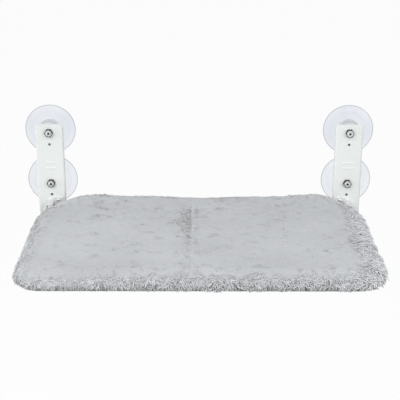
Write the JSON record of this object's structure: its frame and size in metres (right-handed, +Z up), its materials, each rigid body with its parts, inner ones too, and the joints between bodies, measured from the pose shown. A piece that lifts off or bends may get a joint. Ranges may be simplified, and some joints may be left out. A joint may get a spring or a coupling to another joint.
{
  "type": "window mounted cat perch",
  "caption": "Folding cushioned bed on hinged arms, held to a window pane by suction cups on steel wall brackets.",
  "frame": {"origin": "middle of the pattern of suction cups, on the plane of the window glass", "axes": "+X to the right as seen from the room, +Y into the glass, +Z up"},
  "size_m": [0.5376, 0.328, 0.2698],
  "materials": {
    "bracket_paint": "smooth white powder coat",
    "clear_vinyl": "clear soft vinyl",
    "zinc_steel": "bright zinc plating",
    "hinge_paint": "smooth pale grey powder coat",
    "foot_rubber": "matt moulded rubber",
    "nylon": "natural nylon",
    "frame_paint": "satin white powder coat",
    "canvas": "plain woven canvas",
    "webbing": "ribbed webbing",
    "foam": "open cell foam",
    "plush": "short pale grey plush, longer at the front and sides",
    "elastic": "flat knitted elastic"
  },
  "bodies": {
    "wall_side": {"wall_bracket_left": "bracket_paint", "wall_bracket_right": "bracket_paint", "suction_cup_upper_left": "clear_vinyl", "suction_cup_upper_right": "clear_vinyl", "suction_cup_lower_left": "clear_vinyl", "suction_cup_lower_right": "clear_vinyl", "cup_studs": "zinc_steel", "cup_nuts": "zinc_steel", "hinge_clevis_left": "hinge_paint", "hinge_clevis_right": "hinge_paint", "clevis_rivets": "zinc_steel", "pivot_pin_left": "zinc_steel", "pivot_pin_right": "zinc_steel", "foot_pad_left": "foot_rubber", "foot_pad_right": "foot_rubber", "foot_screws": "zinc_steel"},
    "bed": {"hinge_arm_left": "hinge_paint", "hinge_arm_right": "hinge_paint", "pivot_bush_left": "nylon", "pivot_bush_right": "nylon", "thrust_washers": "nylon", "front_frame_tube": "frame_paint", "rear_frame_tube": "frame_paint", "frame_joint_screws": "zinc_steel", "arm_bolts": "zinc_steel", "arm_nuts": "zinc_steel", "canvas_deck": "canvas", "deck_tabs": "webbing", "foam_pad": "foam", "plush_cover": "plush", "hem_elastic": "elastic"}
  },
  "joints": [
    {"name": "bed_fold", "type": "hinge", "parent": "wall_side", "child": "bed", "pos_m": [0, -0.053, -0.0775], "axis": [-1, 0, 0], "range_deg": [0, 90]}
  ]
}
